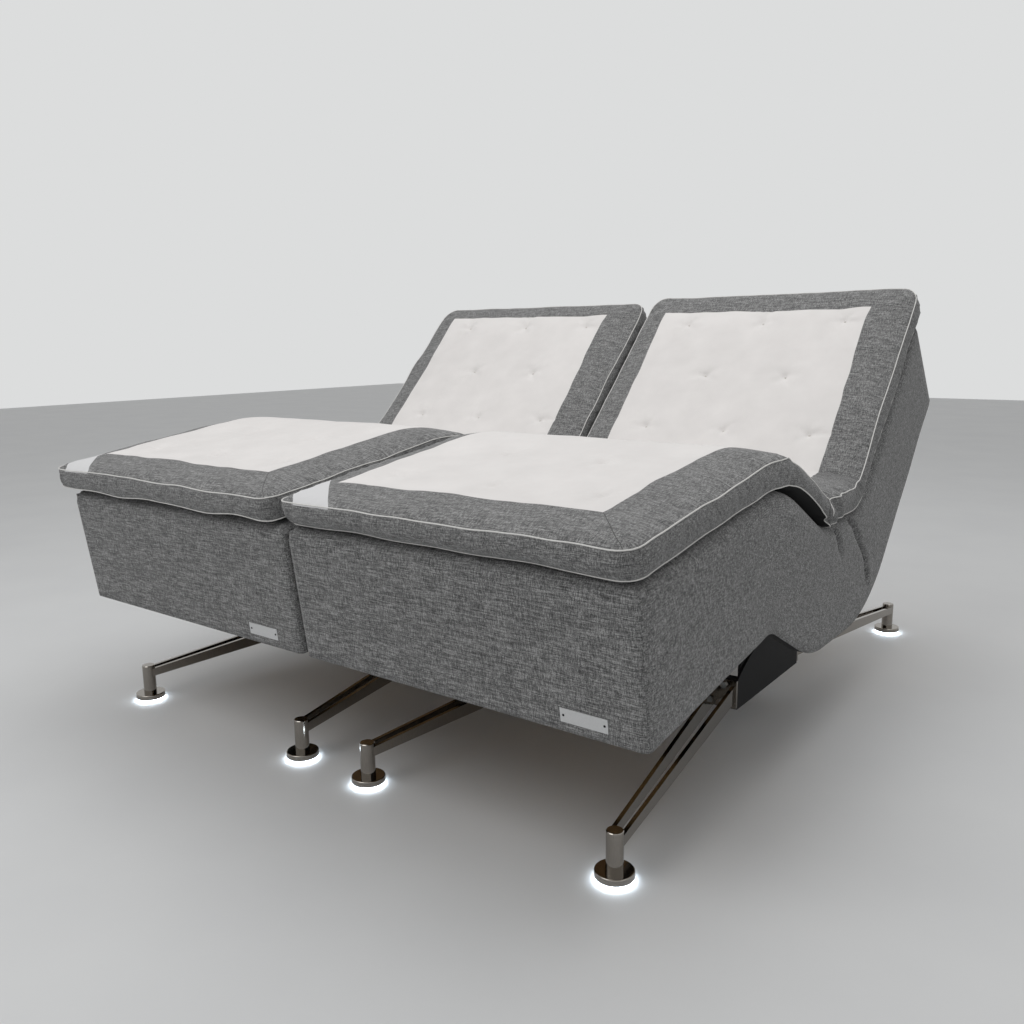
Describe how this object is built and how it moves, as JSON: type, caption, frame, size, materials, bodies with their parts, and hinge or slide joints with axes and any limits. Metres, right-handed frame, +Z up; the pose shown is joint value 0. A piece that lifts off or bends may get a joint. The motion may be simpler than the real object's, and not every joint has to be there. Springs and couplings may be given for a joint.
{
  "type": "adjustable bed base",
  "caption": "Pair of upholstered adjustable beds with tufted toppers, raised back and knee sections, and low splayed steel legs on lit round feet.",
  "frame": {"origin": "on the floor, at the middle of the pair's outline", "axes": "+X across the pair to the right seen from the foot end, +Y from foot to head, +Z up"},
  "size_m": [1.794, 2.0442, 1.133],
  "materials": {
    "topper_cloth": "tufted white knit with a grey border",
    "grey_upholstery": "grey melange woven cloth",
    "plywood": "sanded plywood",
    "polished_steel": "polished stainless steel",
    "plate_steel": "brushed",
    "light_ring": "lit frosted ring",
    "glide_rubber": "matt",
    "drive_plastic": "moulded",
    "zinc_steel": "zinc plated",
    "black_steel": "black powder coat"
  },
  "bodies": {
    "chassis": {"seat_cores": "grey_upholstery", "seat_side_panels": "grey_upholstery", "seat_decks": "plywood", "seat_toppers": "topper_cloth", "chassis_side_plates": "black_steel", "chassis_cross_beams": "black_steel", "hinge_towers": "black_steel", "hinge_pins": "zinc_steel", "drive_housings": "drive_plastic", "control_boxes": "drive_plastic", "glide_pads": "glide_rubber", "light_rings": "light_ring", "foot_discs": "polished_steel", "leg_posts": "polished_steel", "leg_bars": "polished_steel", "leg_brackets": "polished_steel", "bracket_bolts": "zinc_steel", "joining_bars": "black_steel"},
    "left_back": {"left_back_core": "grey_upholstery", "left_back_side_panels": "grey_upholstery", "left_back_deck": "plywood", "left_back_topper": "topper_cloth", "left_back_arms": "black_steel", "left_back_lever": "black_steel"},
    "left_thigh": {"left_thigh_core": "grey_upholstery", "left_thigh_side_panels": "grey_upholstery", "left_thigh_deck": "plywood", "left_thigh_topper": "topper_cloth", "left_thigh_arms": "black_steel", "left_thigh_lever": "black_steel"},
    "left_foot": {"left_foot_core": "grey_upholstery", "left_foot_side_panels": "grey_upholstery", "left_foot_deck": "plywood", "left_foot_topper": "topper_cloth", "left_foot_arms": "black_steel", "left_name_plate": "plate_steel"},
    "left_foot_links": {"left_foot_links": "black_steel"},
    "left_back_pusher": {"left_back_pusher": "zinc_steel"},
    "left_leg_pusher": {"left_leg_pusher": "zinc_steel"},
    "right_back": {"right_back_core": "grey_upholstery", "right_back_side_panels": "grey_upholstery", "right_back_deck": "plywood", "right_back_topper": "topper_cloth", "right_back_arms": "black_steel", "right_back_lever": "black_steel"},
    "right_thigh": {"right_thigh_core": "grey_upholstery", "right_thigh_side_panels": "grey_upholstery", "right_thigh_deck": "plywood", "right_thigh_topper": "topper_cloth", "right_thigh_arms": "black_steel", "right_thigh_lever": "black_steel"},
    "right_foot": {"right_foot_core": "grey_upholstery", "right_foot_side_panels": "grey_upholstery", "right_foot_deck": "plywood", "right_foot_topper": "topper_cloth", "right_foot_arms": "black_steel", "right_name_plate": "plate_steel"},
    "right_foot_links": {"right_foot_links": "black_steel"},
    "right_back_pusher": {"right_back_pusher": "zinc_steel"},
    "right_leg_pusher": {"right_leg_pusher": "zinc_steel"}
  },
  "joints": [
    {"name": "left_back_hinge", "type": "hinge", "parent": "chassis", "child": "left_back", "pos_m": [-0.45, 0.25556, 0.411], "axis": [1, 0, 0], "range_deg": [-45, 15]},
    {"name": "left_thigh_hinge", "type": "hinge", "parent": "chassis", "child": "left_thigh", "pos_m": [-0.45, -0.10444, 0.411], "axis": [-1, 0, 0], "range_deg": [-27, 8]},
    {"name": "left_knee_hinge", "type": "hinge", "parent": "left_thigh", "child": "left_foot", "pos_m": [-0.45, -0.38066, 0.55174], "axis": [1, 0, 0], "range_deg": [-35.5, 10.87]},
    {"name": "left_link_hinge", "type": "hinge", "parent": "chassis", "child": "left_foot_links", "pos_m": [-0.45, -0.10864, 0.2886], "axis": [-1, 0, 0], "range_deg": [-26.52, 8.21]},
    {"name": "left_back_push", "type": "slide", "parent": "chassis", "child": "left_back_pusher", "axis": [0, 1, 0], "range_m": [-0.088, 0.03]},
    {"name": "left_leg_push", "type": "slide", "parent": "chassis", "child": "left_leg_pusher", "axis": [0, -1, 0], "range_m": [-0.05482, 0.01695]},
    {"name": "right_back_hinge", "type": "hinge", "parent": "chassis", "child": "right_back", "pos_m": [0.45, 0.25556, 0.411], "axis": [1, 0, 0], "range_deg": [-45, 15]},
    {"name": "right_thigh_hinge", "type": "hinge", "parent": "chassis", "child": "right_thigh", "pos_m": [0.45, -0.10444, 0.411], "axis": [-1, 0, 0], "range_deg": [-27, 8]},
    {"name": "right_knee_hinge", "type": "hinge", "parent": "right_thigh", "child": "right_foot", "pos_m": [0.45, -0.38066, 0.55174], "axis": [1, 0, 0], "range_deg": [-35.5, 10.87]},
    {"name": "right_link_hinge", "type": "hinge", "parent": "chassis", "child": "right_foot_links", "pos_m": [0.45, -0.10864, 0.2886], "axis": [-1, 0, 0], "range_deg": [-26.52, 8.21]},
    {"name": "right_back_push", "type": "slide", "parent": "chassis", "child": "right_back_pusher", "axis": [0, 1, 0], "range_m": [-0.088, 0.03]},
    {"name": "right_leg_push", "type": "slide", "parent": "chassis", "child": "right_leg_pusher", "axis": [0, -1, 0], "range_m": [-0.05482, 0.01695]}
  ],
  "couplings": [
    {"joint": "left_knee_hinge", "follows": "left_thigh_hinge", "ratio": 1.2963},
    {"joint": "left_link_hinge", "follows": "left_thigh_hinge", "ratio": 0.9639},
    {"joint": "left_back_push", "follows": "left_back_hinge", "m_per_rad": 0.11077},
    {"joint": "left_leg_push", "follows": "left_thigh_hinge", "m_per_rad": 0.11421},
    {"joint": "right_knee_hinge", "follows": "right_thigh_hinge", "ratio": 1.2963},
    {"joint": "right_link_hinge", "follows": "right_thigh_hinge", "ratio": 0.9639},
    {"joint": "right_back_push", "follows": "right_back_hinge", "m_per_rad": 0.11077},
    {"joint": "right_leg_push", "follows": "right_thigh_hinge", "m_per_rad": 0.11421}
  ]
}
